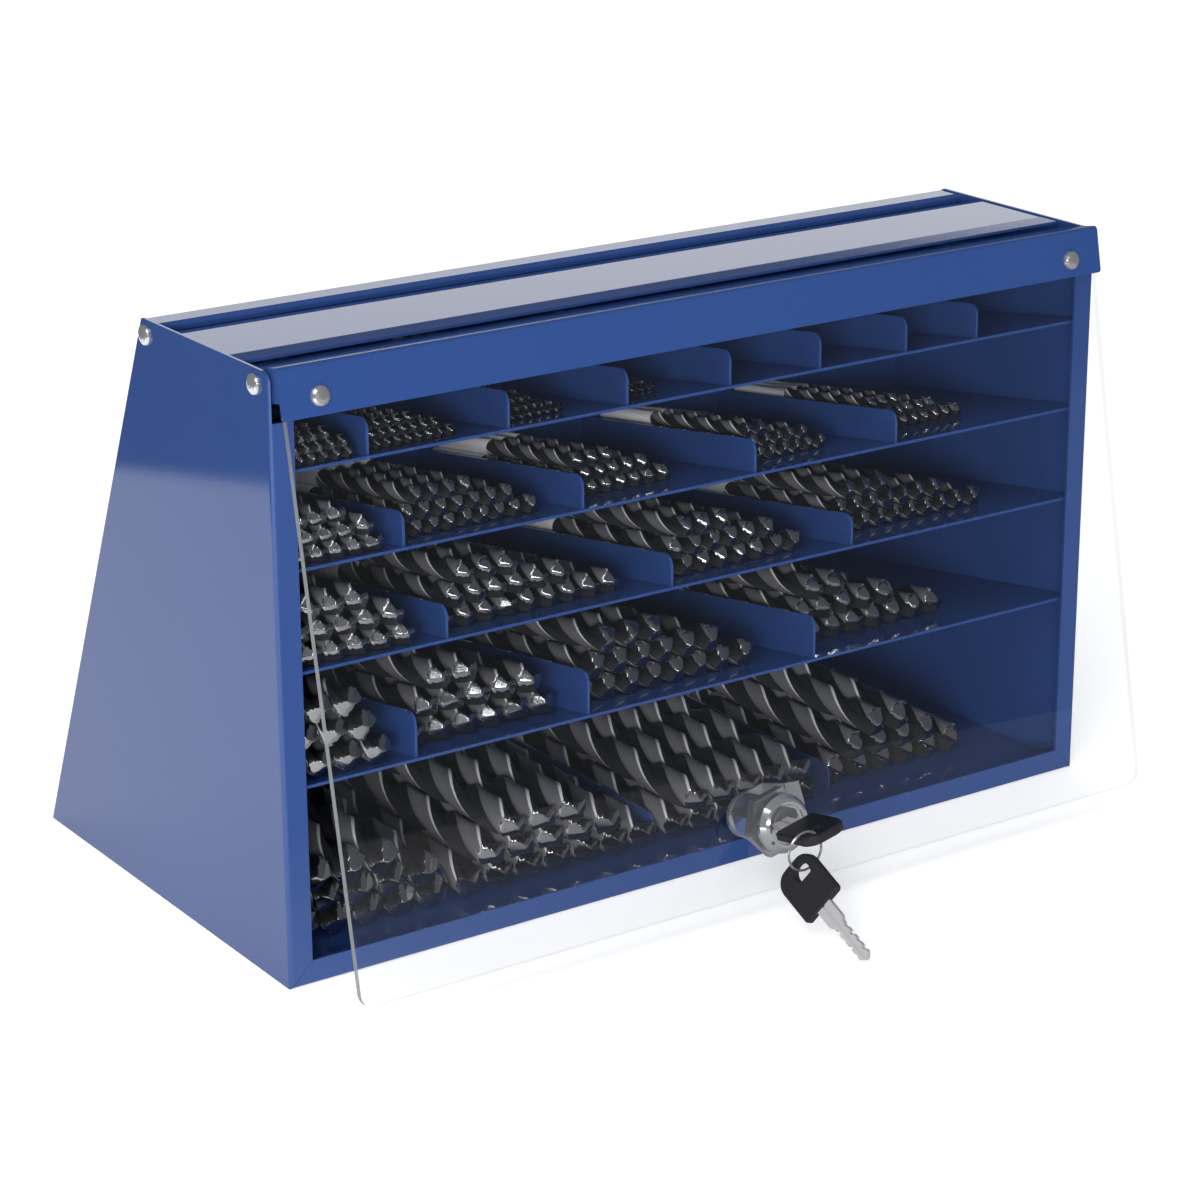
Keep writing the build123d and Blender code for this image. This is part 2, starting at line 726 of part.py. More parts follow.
def key_blade():
    """Blade from its tip to its end inside the bow."""
    half = blade_width / 2
    waist = blade_waist / 2
    with BuildPart() as blade:
        with BuildSketch(Plane.XZ):
            Polygon(
                (-half, 0),
                (-half, -blade_shoulder),
                (-waist, -blade_shoulder - blade_taper),
                (-waist, -blade_length + blade_taper),
                (blade_taper - waist, -blade_length),
                (waist - blade_taper, -blade_length),
                (waist, -blade_length + blade_taper),
                (waist, -blade_shoulder - blade_taper),
                (half, -blade_shoulder),
                (half, 0),
                align=None,
            )
            for side, cuts in ((-1, blade_cuts), (1, blade_cuts[::-1])):
                for step, depth in enumerate(cuts):
                    with Locations((side * waist, -blade_length + (step + 1) * blade_cut_pitch)):
                        Rectangle(2 * depth, blade_cut_width, mode=Mode.SUBTRACT)
        extrude(amount=blade_thickness / 2, both=True)
        with BuildSketch(Plane.XZ.offset(-blade_thickness / 2)):
            with Locations((0, -blade_length / 2)):
                Rectangle(blade_groove_width, 2 * blade_length)
        extrude(amount=blade_groove_depth, mode=Mode.SUBTRACT)
    return blade.part


# centre of the bow's hole, across and along the key
hole_x = -bow_width / 2 + bow_hole_side + bow_hole_radius
hole_z = bow_length - bow_hole_end - bow_hole_radius


def key_bow():
    """Moulded bow: round at the ring end, square at the blade, with a D shaped hole."""
    with BuildPart() as bow:
        with BuildSketch(Plane.XZ) as outline:
            Rectangle(bow_width, bow_length, align=(Align.CENTER, Align.MIN))
            fillet(outline.vertices().group_by(Axis.Y)[-1], radius=bow_round)
            fillet(outline.vertices().group_by(Axis.Y)[0], radius=bow_corner)
        extrude(amount=bow_thickness / 2, both=True)
        chamfer(bow.faces().filter_by(Axis.Y).edges(), length=bow_edge)
        with BuildSketch(Plane.XZ):
            with Locations((hole_x, hole_z)):
                Circle(bow_hole_radius)
            with Locations((hole_x, hole_z - bow_hole_flat)):
                Rectangle(bow_width, bow_length, align=(Align.CENTER, Align.MIN), mode=Mode.INTERSECT)
        extrude(amount=bow_thickness, both=True, mode=Mode.SUBTRACT)
    return bow.part


blade_shape = key_blade()
bow_shape = key_bow()

# The first key stands in the plug, its bow level.
key_seat = lock_frame.offset(lock_bezel_height + key_stand_off)
key_pose = key_seat.location
save(key_pose * blade_shape, "key_blade")
save(key_pose * bow_shape, "key_bow")

# The ring hangs through the bow's hole and over its side, parallel to the case's front.
ring_facing = Vector(0, -1, 0)
hole_centre = key_seat.from_local_coords((hole_x, 0, hole_z))
rim_line = key_seat.y_dir.cross(ring_facing).normalized()
rim_out = rim_line if rim_line.X < 0 else -rim_line
rim_down = ring_facing.cross(rim_out)
rim_down = rim_down if rim_down.Z < 0 else -rim_down
inner_radius = ring_radius - ring_wire
ring_drop = sqrt(inner_radius**2 - (bow_hole_side / 2) ** 2) - bow_thickness / 2 - ring_play
ring_centre = hole_centre + rim_out * (bow_hole_radius + bow_hole_side / 2) + rim_down * ring_drop
ring_side = ring_centre + Vector(ring_radius, 0, 0)
with BuildPart() as key_ring:
    with BuildSketch(Plane(origin=ring_side, x_dir=(1, 0, 0), z_dir=(0, 0, 1))):
        RegularPolygon(ring_wire, ring_sides)
    revolve(axis=Axis(origin=ring_centre, direction=ring_facing))
save(key_ring.part, "key_ring")

# The spare key hangs from the lowest part of the ring by the same hole, and its
# tip rests on the ground in front of the case.
spare_hole = ring_centre - Vector(0, 0, ring_radius + spare_sag)
spare_lean = acos((spare_hole.Z - spare_tip_height) / (hole_z + blade_length))
spare_across = Vector(cos(radians(spare_heading)), -sin(radians(spare_heading)), 0)
spare_up = Vector(0, 0, cos(spare_lean)) - spare_across * sin(spare_lean)
spare_facing = spare_across.cross(Vector(0, 0, 1))
spare_side = spare_facing.cross(spare_up) * cos(radians(spare_roll)) + spare_facing * sin(radians(spare_roll))
spare_frame = Plane(origin=spare_hole, x_dir=spare_side, z_dir=spare_up)
spare_pose = Plane(
    origin=spare_frame.from_local_coords((-hole_x, 0, -hole_z)),
    x_dir=spare_frame.x_dir,
    z_dir=spare_up,
).location
save(spare_pose * blade_shape, "spare_key_blade")
save(spare_pose * bow_shape, "spare_key_bow")
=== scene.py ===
# %% [markdown]
# # A bench case of twist drills behind a clear flap
#
# The case is folded sheet steel under a glossy blue powder coat. Five stepped trays hold twenty-five sizes
# of drill, and a clear flap with a cam lock hangs in front of them. The CAD model gives every part's shape
# and place. This script gives the parts their finishes, cuts real flutes into the drills, and sets up the
# studio.

# %% Load the CAD frame
import json
import math

import bmesh
import bpy
import numpy as np
from mathutils import Matrix, Vector


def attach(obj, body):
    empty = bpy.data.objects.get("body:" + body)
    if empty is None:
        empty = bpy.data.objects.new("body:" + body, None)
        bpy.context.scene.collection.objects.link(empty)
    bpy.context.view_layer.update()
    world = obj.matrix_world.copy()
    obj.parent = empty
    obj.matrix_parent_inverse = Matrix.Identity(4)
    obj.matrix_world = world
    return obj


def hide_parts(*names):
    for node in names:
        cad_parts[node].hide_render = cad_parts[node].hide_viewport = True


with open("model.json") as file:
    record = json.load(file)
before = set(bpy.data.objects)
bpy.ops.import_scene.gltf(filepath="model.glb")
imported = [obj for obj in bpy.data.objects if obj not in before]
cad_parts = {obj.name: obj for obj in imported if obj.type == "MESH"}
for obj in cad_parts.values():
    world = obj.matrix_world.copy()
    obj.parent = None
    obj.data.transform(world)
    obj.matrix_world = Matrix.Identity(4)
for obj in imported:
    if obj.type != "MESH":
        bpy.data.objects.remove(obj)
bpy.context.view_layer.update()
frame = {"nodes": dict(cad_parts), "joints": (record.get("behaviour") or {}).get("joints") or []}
nodes = frame["nodes"]

# %% [markdown]
# ## Sums on shader sockets
#
# A `Wire` wraps one output socket. Arithmetic on it adds Math nodes, so a formula in a material reads like
# a formula. `Graph.add` makes any other node: its type, then its settings, then what goes into its sockets.


# %% A socket that does sums
class Wire:
    """An output socket of a node tree, with arithmetic."""

    def __init__(self, graph, socket):
        self.graph = graph
        self.socket = socket

    def _math(self, operation, *values):
        return self.graph.add("ShaderNodeMath", {"operation": operation}, dict(enumerate(values)))

    def __add__(self, other):
        return self._math("ADD", self, other)

    def __sub__(self, other):
        return self._math("SUBTRACT", self, other)

    def __mul__(self, other):
        return self._math("MULTIPLY", self, other)

    def __radd__(self, other):
        return self._math("ADD", other, self)

    def __rsub__(self, other):
        return self._math("SUBTRACT", other, self)

    def __rmul__(self, other):
        return self._math("MULTIPLY", other, self)

    def __abs__(self):
        return self._math("ABSOLUTE", self)

    def ramp(self, low, high):
        """0 where this is at low, 1 where it is at high, smooth between them."""
        settings = {"interpolation_type": "SMOOTHSTEP"}
        return self.graph.add("ShaderNodeMapRange", settings, {0: self, 1: low, 2: high})

    def mix(self, first, second):
        """The first colour where this is 0, the second where it is 1."""
        return self.graph.add(
            "ShaderNodeMix", {"data_type": "RGBA"}, {0: self, 6: first, 7: second}, output=2
        )


# %% A material's node tree
class Graph:
    """The node tree of a new material that starts with one Principled shader."""

    NOISE_DETAIL = 2.0  # octaves above the first

    def __init__(self, name):
        self.material = bpy.data.materials.new(name)
        self.material.use_nodes = True
        self.tree = self.material.node_tree
        self.shader = self.tree.nodes["Principled BSDF"]
        self.output = self.tree.nodes["Material Output"]

    def feed(self, node, inputs):
        for key, value in inputs.items():
            if isinstance(value, Wire):
                self.tree.links.new(value.socket, node.inputs[key])
            else:
                node.inputs[key].default_value = value

    def add(self, kind, settings, inputs, output=0):
        node = self.tree.nodes.new(kind)
        for key, value in settings.items():
            setattr(node, key, value)
        self.feed(node, inputs)
        return Wire(self, node.outputs[output])

    def set(self, **values):
        """Sets sockets of the Principled shader, with _ for a space."""
        self.feed(self.shader, {key.replace("_", " "): value for key, value in values.items()})

    def place(self, output="Object"):
        """The point in the piece's own frame, in metres, which moves with the piece."""
        return self.add("ShaderNodeTexCoord", {}, {}, output=output)

    def noise(self, waves):
        """Noise between 0 and 1 with about this many waves to the metre."""
        inputs = {"Vector": self.place(), "Scale": waves, "Detail": self.NOISE_DETAIL}
        return self.add("ShaderNodeTexNoise", {}, inputs)

    def bump(self, height, distance, normal=None):
        """A normal for a surface whose height varies from 0 to `distance` metres."""
        inputs = {"Height": height, "Distance": distance, "Strength": 1.0}
        if normal:
            inputs["Normal"] = normal
        return self.add("ShaderNodeBump", {}, inputs)


# %% [markdown]
# ## Powder coat
#
# The paint is a deep blue, baked on as powder, which leaves a glossy skin with fine orange peel. A
# photographed texture would stretch over the folds, so two sizes of noise in the height of a bump make the
# peel. It breaks up the edges of reflections, and a slow drift in the colour keeps the large sheets from
# looking flat.

# %% Powder coat
PEEL_WAVES = 900.0  # to the metre
FINE_PEEL_WAVES = 2600.0
FINE_PEEL_SHARE = 0.6
PEEL_DEPTH = 0.000007
DRIFT_WAVES = 14.0
DEEP_BLUE = (0.0158, 0.0425, 0.150, 1.0)
LIGHTER_BLUE = (0.0178, 0.0465, 0.161, 1.0)


def powder_coat(name):
    """Glossy deep blue paint with fine orange peel; returns its graph and the height of the peel."""
    graph = Graph(name)
    peel = graph.noise(PEEL_WAVES) + FINE_PEEL_SHARE * graph.noise(FINE_PEEL_WAVES)
    graph.set(
        Base_Color=graph.noise(DRIFT_WAVES).mix(DEEP_BLUE, LIGHTER_BLUE),
        Roughness=0.05,
        IOR=1.55,
        Normal=graph.bump(peel, PEEL_DEPTH),
    )
    return graph, peel


coat, _ = powder_coat("blue_powder_coat")
print("paint:", coat.material.name)

# %% [markdown]
# The top sheet has a shallow fold parallel to its front edge. In front of the fold it dips by about three
# degrees, so that strip reflects another part of the room. The dip is too small to change the outline, so a
# ramp in the height of a bump tilts the normal there, and the sheet itself stays as the CAD has it.

# %% Folded top sheet
FOLD_Y = -0.0635
FOLD_STRIP = 0.010  # length of the ramp, front to back
FOLD_DIP = 0.060  # slope of the strip
top_coat, top_peel = powder_coat("folded_top_coat")
place_y = top_coat.add("ShaderNodeSeparateXYZ", {}, {0: top_coat.place()}, output=1)
settings = {"interpolation_type": "LINEAR"}
dip = top_coat.add("ShaderNodeMapRange", settings, {0: place_y, 1: FOLD_Y - FOLD_STRIP, 2: FOLD_Y})
dipped = top_coat.bump(dip, FOLD_STRIP * FOLD_DIP)
top_coat.set(Normal=top_coat.bump(top_peel, PEEL_DEPTH, normal=dipped))
print("fold:", round(math.degrees(math.atan(FOLD_DIP)), 1), "degrees")

# %% [markdown]
# ## Steel
#
# The lock is chromed, the rivets, screws, nuts and ring are plated, and the key blades are plain. A drill
# has five finishes: black oxide flutes, satin lands with a thin bright margin, bright facets at the point
# and a satin shank. All are one recipe with other values, because what differs is the colour, how rough the
# surface is and how much of it is oxide rather than bare metal.

# %% Steel
CLOUD_WAVES = 60.0  # to the metre
CLOUD_SHADE = 0.93  # the darkest part of the cloud
CLOUD_ROUGHNESS = 0.05
GRAIN_WAVES = 1500.0


def metal(name, colour, roughness, metallic=1.0, grain=0.0):
    """A bare, plated or oxide finish: grain is the depth of its surface texture in metres."""
    graph = Graph(name)
    cloud = graph.noise(CLOUD_WAVES)
    graph.set(
        Base_Color=cloud.mix(tuple(CLOUD_SHADE * c for c in colour) + (1.0,), tuple(colour) + (1.0,)),
        Metallic=metallic,
        Roughness=roughness + CLOUD_ROUGHNESS * cloud,
    )
    if grain:
        graph.set(Normal=graph.bump(graph.noise(GRAIN_WAVES), grain))
    return graph.material


chrome = metal("chrome", (0.88, 0.89, 0.90), 0.08, metallic=0.93)
plated = metal("bright_steel", (0.70, 0.70, 0.70), 0.20, metallic=0.9)
key_metal = metal("key_steel", (0.66, 0.64, 0.64), 0.30, metallic=0.6, grain=0.00001)
flute_metal = metal("black_oxide_flutes", (0.034, 0.035, 0.038), 0.42, metallic=0.5)
ground = metal("ground_steel", (0.42, 0.42, 0.43), 0.13)
shank_metal = metal("satin_shank_steel", (0.74, 0.74, 0.75), 0.45, metallic=0.05)
land_metal = metal("satin_land_steel", (0.205, 0.205, 0.215), 0.34, metallic=0.4)
margin_metal = metal("bright_margin_steel", (0.85, 0.85, 0.86), 0.30, metallic=0.25)
drill_finishes = (flute_metal, ground, shank_metal, land_metal, margin_metal)
print("drill finishes:", [finish.name for finish in drill_finishes])

# %% [markdown]
# The bows of the keys are moulded black plastic with a fine even texture, such as a spark-eroded mould
# leaves. One noise shades the black, and a finer one is the height of a bump.

# %% Black moulded plastic
SHADE_WAVES = 50.0
TEXTURE_WAVES = 2500.0
TEXTURE_DEPTH = 0.00004
BLACK, PALER_BLACK = (0.011, 0.011, 0.012, 1.0), (0.015, 0.015, 0.016, 1.0)
plastic = Graph("black_plastic")
plastic.set(
    Base_Color=plastic.noise(SHADE_WAVES).mix(BLACK, PALER_BLACK),
    Roughness=0.38,
    Normal=plastic.bump(plastic.noise(TEXTURE_WAVES), TEXTURE_DEPTH),
)
print("bows:", plastic.material.name)

# %% [markdown]
# ## Clear acrylic
#
# A real refracting sheet would need many bounces and darken what lies behind it. Here light goes straight
# through the faces, and the face that it meets first also carries the other face's reflection, which grows
# towards grazing angles. The sawn edges of the sheet look grey: they are told from the faces by their normal
# in the sheet's own frame.

# %% Acrylic
flap_normal = Vector(next(joint["axis"] for joint in frame["joints"] if joint["name"] == "lock_turn"))
REFRACTION = 1.49
BOTH_FACES = 1.4  # reflection of the two faces together, as a multiple of one face's
EDGE_ALPHA = 0.76
BACK_ALPHA = 0.12
EDGE_GREY = (0.13, 0.135, 0.14, 1.0)
CORNER_GREY = (0.25, 0.26, 0.265, 1.0)
acrylic = Graph("clear_acrylic")
facing = abs(
    acrylic.add(
        "ShaderNodeVectorMath",
        {"operation": "DOT_PRODUCT"},
        {0: acrylic.place("Normal"), 1: flap_normal},
        output="Value",
    )
)
gloss = acrylic.add("ShaderNodeBsdfGlossy", {}, {"Roughness": 0.02, "Color": (1, 1, 1, 1)})
clear = acrylic.add("ShaderNodeBsdfTransparent", {}, {"Color": (0.995, 0.996, 0.998, 1.0)})
outside = 1.0 - acrylic.add("ShaderNodeNewGeometry", {}, {}, output="Backfacing")
mirror = acrylic.add("ShaderNodeFresnel", {}, {"IOR": REFRACTION}) * outside * BOTH_FACES
sheet_face = acrylic.add("ShaderNodeMixShader", {}, {0: mirror, 1: clear, 2: gloss})
acrylic.set(
    Base_Color=facing.ramp(0.2, 0.9).mix(EDGE_GREY, CORNER_GREY),
    Roughness=0.2,
    Alpha=BACK_ALPHA + EDGE_ALPHA * outside,
)
edge = Wire(acrylic, acrylic.shader.outputs[0])
whole_sheet = acrylic.add("ShaderNodeMixShader", {}, {0: facing.ramp(0.3, 0.7), 1: edge, 2: sheet_face})
acrylic.feed(acrylic.output, {"Surface": whole_sheet})
print("normal of the sheet:", [round(v, 3) for v in flap_normal])

# %% [markdown]
# ## Finishes on the CAD parts
#
# Most CAD parts keep their own shape, so each only needs its finish. It goes by a part of the node's name,
# since one finish covers many nodes. The plain bars of the drills get one too, though twist drills replace
# them below.

# %% Assign
finishes = (
    (coat.material, ("end_panel", "base_panel", "rear_panel", "tray_", "dividers_", "door_bracket")),
    (top_coat.material, ("top_panel",)),
    (acrylic.material, ("clear_flap",)),
    (chrome, ("lock_body", "lock_plug")),
    (plated, ("_rivets", "bracket_screws", "bracket_nuts", "lock_nut", "lock_cam", "cam_screw", "key_ring")),
    (key_metal, ("key_blade",)),
    (plastic.material, ("key_bow",)),
    (shank_metal, ("drills_",)),
)
finished = 0
for name, node in nodes.items():
    for finish, parts_of_name in finishes:
        if any(part in name for part in parts_of_name):
            node.data.materials.clear()
            node.data.materials.append(finish)
            finished += 1
print("parts with a finish:", finished)

# %% [markdown]
# ## Twist drills
#
# A jobber drill has two flutes on a 30 degree right-hand helix, a 118 degree point and a plain shank.
# Cutting flutes out of a bar with a Boolean is slow and leaves long thin faces. Instead one drill of each
# size is built as rings of points along its axis, and repeated wherever the CAD has a bar of that size.

# %% Proportions of a drill
HELIX = math.radians(30.0)
HALF_POINT = math.radians(59.0)
FLUTE_START = 88.0  # degrees round the section where a land ends and a flute begins
FLUTE_DEPTH = 0.72  # of the radius
FLUTE_FULLNESS = 0.7  # below 1, a flute is fuller than a sine
MARGIN = 14.0  # degrees of each land at full diameter
RELIEF = 0.955  # radius of the rest of the land
FACETS = (25.0, 82.0, 205.0, 262.0)  # degrees round the section that the point's four ground facets face
FLUTE, FACET, SHANK, LAND, RIM = range(5)  # places of the finishes in drill_finishes


def section(count):
    """Radius at `count` angles round the fluted section, as part of the full radius, 1.0 on the margins."""
    angles = (np.arange(count) + 0.5) * 360.0 / count % 180.0
    into_flute = np.clip((angles - FLUTE_START) / (180.0 - FLUTE_START), 0.0, 1.0)
    valley = 1.0 - FLUTE_DEPTH * np.sin(np.pi * into_flute) ** FLUTE_FULLNESS
    land = np.where(angles < MARGIN, 1.0, RELIEF)
    return np.where(into_flute > 0.0, np.minimum(valley, land), land)


def facet_reach(angles):
    """Reach of a section through the four facets of the point, as part of the radius at its base."""
    slopes = np.array([np.cos(angles - math.radians(facing)) for facing in FACETS])
    return 1.0 / slopes.max(axis=0)


print("section of a drill, as parts of its radius:", np.round(section(12), 2))

# %% [markdown]
# Each ring has a height, a limit for its reach and a share of the flutes' full depth. The flutes run out
# before the shank, and towards the point the limit shrinks, where four flat facets cut the rings off.

# %% One drill
SHANK_BASE = 0.0205  # shank length is this plus 2.4 diameters
SHANK_PER_DIAMETER = 2.4
CHAMFER = 0.15  # length of the shank's chamfer, in diameters
CHAMFER_REACH = 0.9
RUN_OUT = 1.2  # diameters over which a flute reaches its depth
RUN_OUT_CURVE = 0.6
RINGS_PER_TURN = 22
FEWEST_RINGS = 6
POINT_RINGS = 8
SMALLEST_TIP = 0.05


def drill_rings(diameter, length, count):
    """Points (ring, point, xyz) along +Z, the kind of each ring, and whether a facet cuts each point."""
    radius = diameter / 2
    shank = SHANK_BASE + SHANK_PER_DIAMETER * diameter
    point_length = radius / math.tan(HALF_POINT)
    lead = math.pi * diameter / math.tan(HELIX)
    fluted = length - point_length - shank
    steps = max(FEWEST_RINGS, round(RINGS_PER_TURN * fluted / lead))
    heights = [0.0, CHAMFER * diameter, shank]
    limits = [CHAMFER_REACH, 1.0, 1.0]
    depths = [0.0, 0.0, 0.0]
    kinds = [SHANK, SHANK, FLUTE]
    for step in range(1, steps + 1):
        along = fluted * step / steps
        heights.append(shank + along)
        limits.append(1.0)
        depths.append(min(1.0, along / (RUN_OUT * diameter)) ** RUN_OUT_CURVE)
        kinds.append(FLUTE)
    for step in range(1, POINT_RINGS + 1):
        limit = 1.0 - (1.0 - SMALLEST_TIP) * step / POINT_RINGS
        heights.append(length - limit * point_length)
        limits.append(limit)
        depths.append(1.0)
        kinds.append(FACET)
    kinds[-POINT_RINGS - 1] = FACET
    heights = np.array(heights)[:, None]
    profile = section(count)[None, :]
    reach = 1.0 - np.array(depths)[:, None] * (1.0 - profile)
    angles = (np.arange(count) + 0.5) / count * 2.0 * np.pi + 2.0 * np.pi * (heights - length) / lead
    facets = np.array(limits)[:, None] * facet_reach(angles)
    ground_here = facets < reach
    reach = np.minimum(reach, facets) * radius
    points = np.stack((reach * np.cos(angles), reach * np.sin(angles), heights + 0.0 * angles), axis=-1)
    return points, kinds[:-1], ground_here


# %% Its faces
def drill_faces(kinds, ground_here):
    """Quads between the rings, and the place of each one's finish."""
    count = ground_here.shape[1]
    angles = (np.arange(count) + 0.5) * 360.0 / count % 180.0
    zones = np.where(angles < MARGIN, RIM, np.where(angles < FLUTE_START, LAND, FLUTE)).tolist()
    quads = []
    finish = []
    for ring, kind in enumerate(kinds):
        for place in range(count):
            after = (place + 1) % count
            low, high = ring * count, (ring + 1) * count
            quads.append((low + place, low + after, high + after, high + place))
            facet = kind == FACET and ground_here[ring + 1, place] and ground_here[ring + 1, after]
            finish.append(FACET if facet else (SHANK if kind == SHANK else zones[place]))
    return quads, finish


# %% [markdown]
# The CAD bars give each drill's axis: from the middle of the flat end to the farthest corner of the point.
# A node holds many bars, so they are told apart by walking along the edges from one corner to the next.


# %% Axes of the CAD bars
SAME_POINT = 1e-6
BAR_SIDES = 6


def bar_axes(node):
    """(shank end, point end) of every loose bar in a node."""
    mesh = bmesh.new()
    mesh.from_mesh(node.data)
    bmesh.ops.remove_doubles(mesh, verts=mesh.verts, dist=SAME_POINT)
    seen = set()
    axes = []
    for start in mesh.verts:
        if start in seen:
            continue
        group = []
        stack = [start]
        seen.add(start)
        while stack:
            vert = stack.pop()
            group.append(vert.co.copy())
            for edge in vert.link_edges:
                other = edge.other_vert(vert)
                if other not in seen:
                    seen.add(other)
                    stack.append(other)
        group.sort(key=lambda place: place.y)
        tip = group[0]
        rear = sum(group[-BAR_SIDES:], Vector()) / BAR_SIDES
        axes.append((rear, tip))
    mesh.free()
    return axes


# %% [markdown]
# In the photograph the drills of one size lie at nearly the same roll, which gives their lands a pattern like
# laid bricks. So all drills of a size share a lean and differ from it by some ten degrees. The random
# numbers have a fixed seed, so every run rolls each drill alike.

# %% The drills of one size
ROLL_SPREAD = 0.16  # radians
SHARP = math.radians(38.0)


def pile_mesh(name, axes, diameter, count, random):
    """The mesh of all the drills of one size, each on the axis of its bar."""
    lean = random.uniform(0.0, math.pi)
    rear, tip = axes[0]
    rings, kinds, ground_here = drill_rings(diameter, (tip - rear).length, count)
    one_drill = rings.reshape(-1, 3)
    quads, one_finish = drill_faces(kinds, ground_here)
    points, faces, caps = [], [], []
    for number, (rear, tip) in enumerate(axes):
        turn = Matrix.Rotation(lean + random.normal(0.0, ROLL_SPREAD), 3, "Z")
        drill_frame = (tip - rear).to_track_quat("Z", "Y").to_matrix() @ turn
        points.append(one_drill @ np.array(drill_frame).T + np.array(rear))
        first = number * len(one_drill)
        last = first + len(one_drill)
        faces.append(np.array(quads) + first)
        caps.append(list(range(first, first + count))[::-1])
        caps.append(list(range(last - count, last)))
    finish = one_finish * len(axes) + [SHANK, FACET] * len(axes)
    mesh = bpy.data.meshes.new(name)
    mesh.from_pydata(np.concatenate(points).tolist(), [], np.concatenate(faces).tolist() + caps)
    mesh.polygons.foreach_set("material_index", finish)
    mesh.polygons.foreach_set("use_smooth", [kind != FACET for kind in finish])
    for finish_material in drill_finishes:
        mesh.materials.append(finish_material)
    mesh.set_sharp_from_angle(angle=SHARP)
    return mesh


# %% Dress every size
SIDES = ((0.0026, 16), (0.0056, 22), (1.0, 30))  # (below this diameter, points round the section)
SEED = 25
rng = np.random.default_rng(SEED)
drill_total = 0
for name in sorted(nodes):
    if name.startswith("drills_"):
        whole, tenth = name.removeprefix("drills_").removesuffix("mm").split("_")
        diameter = (int(whole) + int(tenth) / 10) / 1000
        count = next(sides for limit, sides in SIDES if diameter < limit)
        axes = bar_axes(nodes[name])
        piece_name = "twist_" + name
        piece = bpy.data.objects.new(piece_name, pile_mesh(piece_name, axes, diameter, count, rng))
        bpy.context.scene.collection.objects.link(piece)
        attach(piece, "case")
        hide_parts(name)
        drill_total += len(axes)
print("drills:", drill_total)

# %% [markdown]
# ## Studio
#
# A white sheet lies under the case and ends a little way beyond it, so that the lower part of each panel
# reflects white and the upper part reflects the darker room. Towards the right, for reflected rays only, a
# shade is painted into the sheet's colour and glow, so its mirror image darkens and the clear flap stays free
# of glare. The sheet's edges lie along and across the line of sight.

# %% Floor
AZIMUTH = math.radians(-34.3244)  # of the line of sight
SHEET_LEFT, SHEET_RIGHT, SHEET_NEAR, SHEET_FAR = -0.606, 0.75, -1.2, 3.6
across = Vector((math.cos(AZIMUTH), math.sin(AZIMUTH), 0.0))
away = Vector((-math.sin(AZIMUTH), math.cos(AZIMUTH), 0.0))
corners = [
    across * u + away * v
    for u, v in (
        (SHEET_LEFT, SHEET_NEAR),
        (SHEET_RIGHT, SHEET_NEAR),
        (SHEET_RIGHT, SHEET_FAR),
        (SHEET_LEFT, SHEET_FAR),
    )
]
floor_mesh = bpy.data.meshes.new("floor")
floor_mesh.from_pydata(corners, [], [(0, 1, 2, 3)])
floor = bpy.data.objects.new("floor", floor_mesh)
bpy.context.scene.collection.objects.link(floor)
print("floor:", round(SHEET_RIGHT - SHEET_LEFT, 3), "by", SHEET_FAR - SHEET_NEAR, "m")

# %% Paper
SHADE_FROM, SHADE_TO = -0.16, 0.06  # places across, in metres
LEAST_SHADE = 0.12
PAPER, SHADED_PAPER = (0.90, 0.90, 0.90, 1.0), (0.26, 0.26, 0.27, 1.0)
GLOW, SHADED_GLOW = (1.0, 1.0, 1.0, 1.0), (0.1, 0.1, 0.1, 1.0)
paper = Graph("white_paper")
place_across = paper.add(
    "ShaderNodeVectorMath", {"operation": "DOT_PRODUCT"}, {0: paper.place(), 1: across}, output="Value"
)
glossy_ray = paper.add("ShaderNodeLightPath", {}, {}, output="Is Glossy Ray")
# Painted shade: reflected rays see the sheet's colour and glow darker towards the right.
shade = glossy_ray * (LEAST_SHADE + (1.0 - LEAST_SHADE) * place_across.ramp(SHADE_FROM, SHADE_TO))
paper.set(
    Base_Color=shade.mix(PAPER, SHADED_PAPER),
    Roughness=0.9,
    Emission_Color=shade.mix(GLOW, SHADED_GLOW),
    Emission_Strength=0.36,
)
floor_mesh.materials.append(paper.material)
print("sheet:", paper.material.name)

# %% [markdown]
# The background is white to the camera. Reflections see a dark room instead, which gives the glossy paint
# and the steel their depth, and everything else is lit by a pale sky.

# %% World
WHITE = (1.0, 1.0, 1.0, 1.0)
SKY = (0.70, 0.71, 0.73, 1.0)
DARK_ROOM = (0.125, 0.134, 0.148, 1.0)
world = bpy.data.worlds.new("studio")
bpy.context.scene.world = world
world.use_nodes = True
tree = world.node_tree
background = tree.nodes["Background"]
light_path = tree.nodes.new("ShaderNodeLightPath")


def choose(switch, off, on):
    """The colour `off`, or `on` for the rays that the switch names."""
    node = tree.nodes.new("ShaderNodeMix")
    node.data_type = "RGBA"
    tree.links.new(light_path.outputs[switch], node.inputs[0])
    for place, colour in ((6, off), (7, on)):
        if isinstance(colour, tuple):
            node.inputs[place].default_value = colour
        else:
            tree.links.new(colour, node.inputs[place])
    return node.outputs[2]


room = choose("Is Glossy Ray", SKY, DARK_ROOM)
tree.links.new(choose("Is Camera Ray", room, WHITE), background.inputs["Color"])
background.inputs["Strength"].default_value = 1.0
print("world:", world.name)

# %% [markdown]
# Four soft lamps: a high one from the left, a low broad one from the front that reaches under the trays, a
# narrow one that draws short highlights on the steel, and one from behind that the top sheet mirrors.

# %% Lights
CASE_MIDDLE = (0.0, 0.0, 0.1)


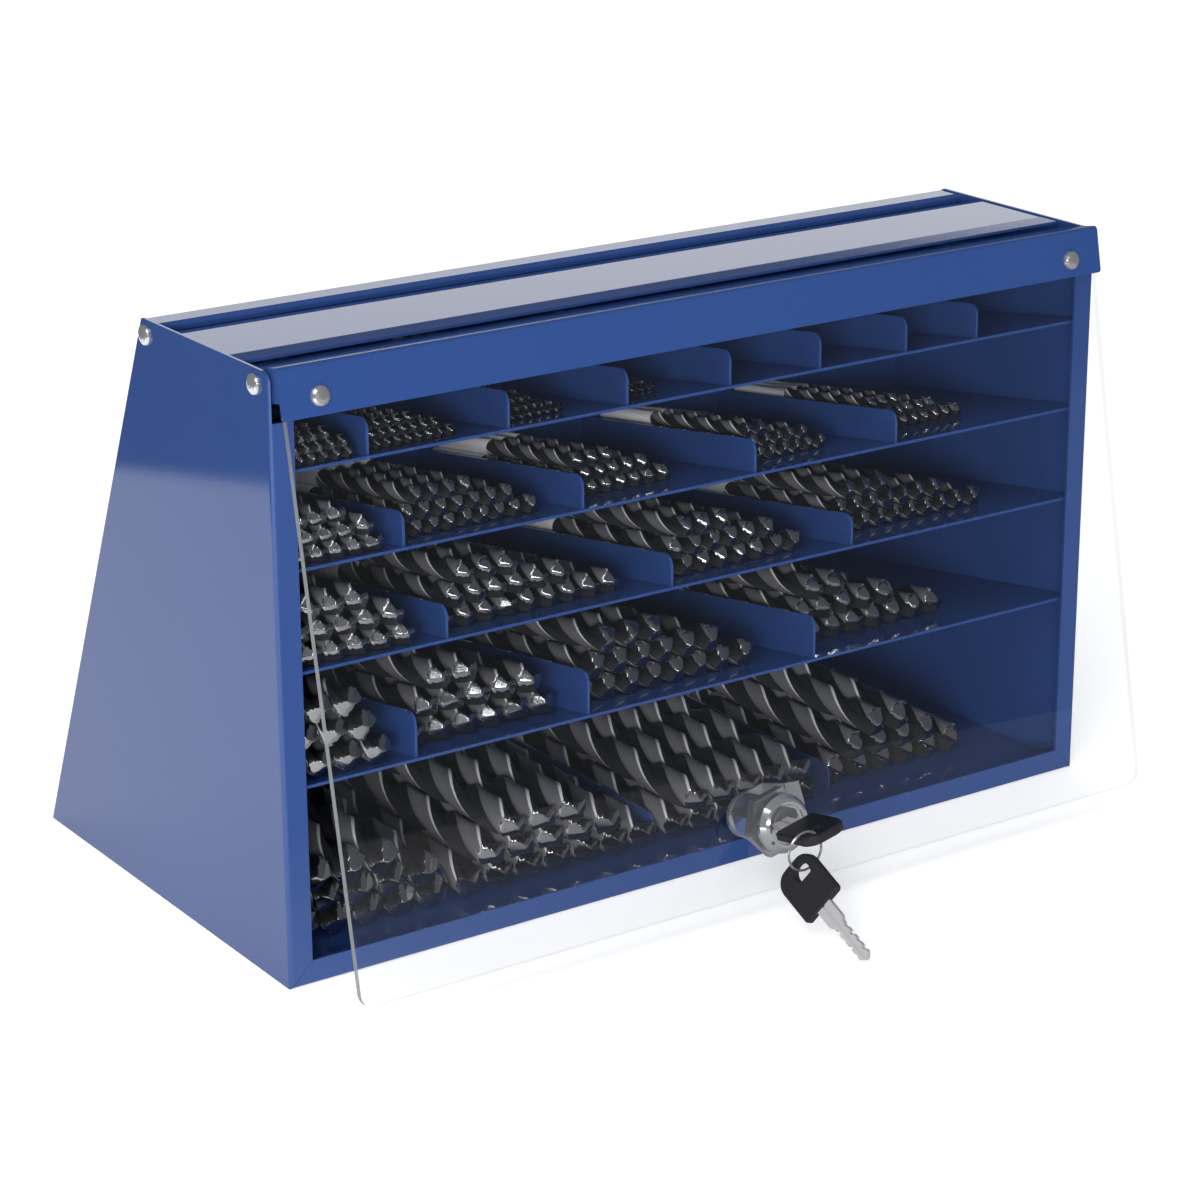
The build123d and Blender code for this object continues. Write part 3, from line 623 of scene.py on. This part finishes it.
def area_light(name, place, target, size, power, mirrored=True):
    """A rectangular lamp that faces the target; its size is in metres and its power in watts."""
    lamp = bpy.data.lights.new(name, "AREA")
    lamp.shape = "RECTANGLE"
    lamp.size, lamp.size_y = size
    lamp.energy = power
    holder = bpy.data.objects.new(name, lamp)
    holder.location = place
    holder.rotation_mode = "QUATERNION"
    holder.rotation_quaternion = (Vector(target) - Vector(place)).to_track_quat("-Z", "Y")
    holder.visible_camera = False
    holder.visible_glossy = mirrored
    bpy.context.scene.collection.objects.link(holder)
    print(name + ":", power, "W")


area_light("key_light", (-1.1, -0.9, 1.5), (0.0, 0.0, 0.08), (1.0, 1.0), 9.0)
area_light("front_light", (-1.35, -1.65, 0.50), CASE_MIDDLE, (0.9, 0.5), 44.0, mirrored=False)
area_light("strip_light", (-0.9, -1.9, 0.62), CASE_MIDDLE, (0.10, 0.5), 3.0)
area_light("rim_light", (1.43, 2.05, 0.84), (0.0, 0.0, 0.2), (1.4, 0.36), 2.0)

# %% [markdown]
# ## Camera
#
# The camera's place, tilt and focal length come from a fit of the photograph's straight edges to the case.

# %% Camera
CAMERA_PLACE = (-0.667706, -0.999190, 0.496244)
ELEVATION = math.radians(19.1923)
ROLL = math.radians(-0.2627)
SENSOR_WIDTH = 36.0
FOCAL_LENGTH = 3367.2  # in the photograph's pixels
PICTURE_WIDTH = 1200.0  # in the photograph's pixels
camera_data = bpy.data.cameras.new("camera")
camera_data.sensor_width = SENSOR_WIDTH
camera_data.lens = SENSOR_WIDTH * FOCAL_LENGTH / PICTURE_WIDTH
camera_data.clip_start = 0.05
camera = bpy.data.objects.new("camera", camera_data)
back = Vector((0.0, 0.0, math.sin(ELEVATION))) - math.cos(ELEVATION) * away
up = back.cross(across)
level = Matrix((across, up, back))
turn = Matrix(((math.cos(ROLL), math.sin(ROLL), 0), (-math.sin(ROLL), math.cos(ROLL), 0), (0, 0, 1)))
camera.matrix_world = Matrix.Translation(CAMERA_PLACE) @ (turn @ level).transposed().to_4x4()
bpy.context.scene.collection.objects.link(camera)
bpy.context.scene.camera = camera
bpy.context.scene.view_settings.view_transform = "Standard"
print("lens:", round(camera_data.lens, 1), "mm")
